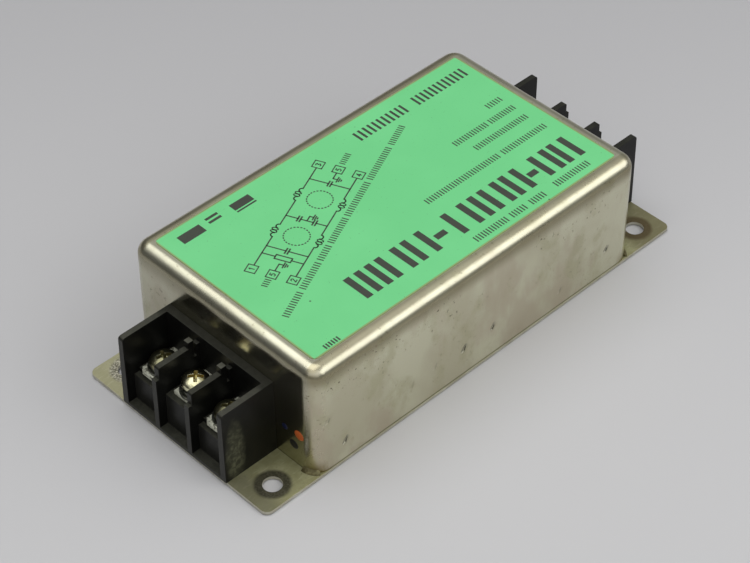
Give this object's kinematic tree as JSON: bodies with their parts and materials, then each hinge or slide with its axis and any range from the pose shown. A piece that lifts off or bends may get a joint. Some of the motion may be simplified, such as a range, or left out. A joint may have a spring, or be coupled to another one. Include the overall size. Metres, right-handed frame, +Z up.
{
  "type": "mains interference filter",
  "caption": "Drawn steel case on a flat base plate with an ear at each end, a barrier terminal block on each ear, printed film on top and chokes and capacitors inside.",
  "frame": {"origin": "centre of the base plate's underside", "axes": "+X from the input end to the output end along the case, +Y across the case towards the line conductors, +Z up from the base plate"},
  "size_m": [0.1482, 0.0668, 0.0354],
  "materials": {
    "case_plating": "satin tin-nickel plate, lightly tarnished",
    "plate_plating": "olive passivated plate, rubbed round the holes",
    "solder": "dull solder",
    "label_film": "matt printed film",
    "block_moulding": "black phenolic moulding, slightly dusty",
    "tinned_terminal": "bright tin plate over brass",
    "screw_plating": "yellow passivated steel",
    "washer_plating": "grey zinc plate",
    "liner_sheet": "pressboard",
    "spacer_plastic": "natural nylon",
    "board_sheet": "glass-epoxy sheet",
    "ferrite": "coated ferrite",
    "divider_card": "insulating card",
    "enamelled_wire": "enamelled copper",
    "x_cap_box": "moulded box",
    "y_cap_coat": "dipped coat",
    "resistor_coat": "lacquer"
  },
  "bodies": {
    "root": {"base_plate": "plate_plating", "case": "case_plating", "corner_solder": "solder", "top_label": "label_film", "base_liner": "liner_sheet", "board_spacers": "spacer_plastic", "component_board": "board_sheet", "input_terminal_block": "block_moulding", "input_line_terminal": "tinned_terminal", "input_neutral_terminal": "tinned_terminal", "input_earth_terminal": "tinned_terminal", "input_terminal_screws": "screw_plating", "input_flat_washers": "washer_plating", "input_spring_washers": "washer_plating", "input_choke_core": "ferrite", "input_choke_divider": "divider_card", "input_line_winding": "enamelled_wire", "input_neutral_winding": "enamelled_wire", "input_x_capacitor": "x_cap_box", "input_line_lead": "enamelled_wire", "input_neutral_lead": "enamelled_wire", "output_terminal_block": "block_moulding", "output_line_terminal": "tinned_terminal", "output_neutral_terminal": "tinned_terminal", "output_earth_terminal": "tinned_terminal", "output_terminal_screws": "screw_plating", "output_flat_washers": "washer_plating", "output_spring_washers": "washer_plating", "output_choke_core": "ferrite", "output_choke_divider": "divider_card", "output_line_winding": "enamelled_wire", "output_neutral_winding": "enamelled_wire", "output_x_capacitor": "x_cap_box", "output_line_lead": "enamelled_wire", "output_neutral_lead": "enamelled_wire", "line_link": "enamelled_wire", "neutral_link": "enamelled_wire", "line_y_capacitor": "y_cap_coat", "neutral_y_capacitor": "y_cap_coat", "bleed_resistor": "resistor_coat"}
  },
  "joints": []
}
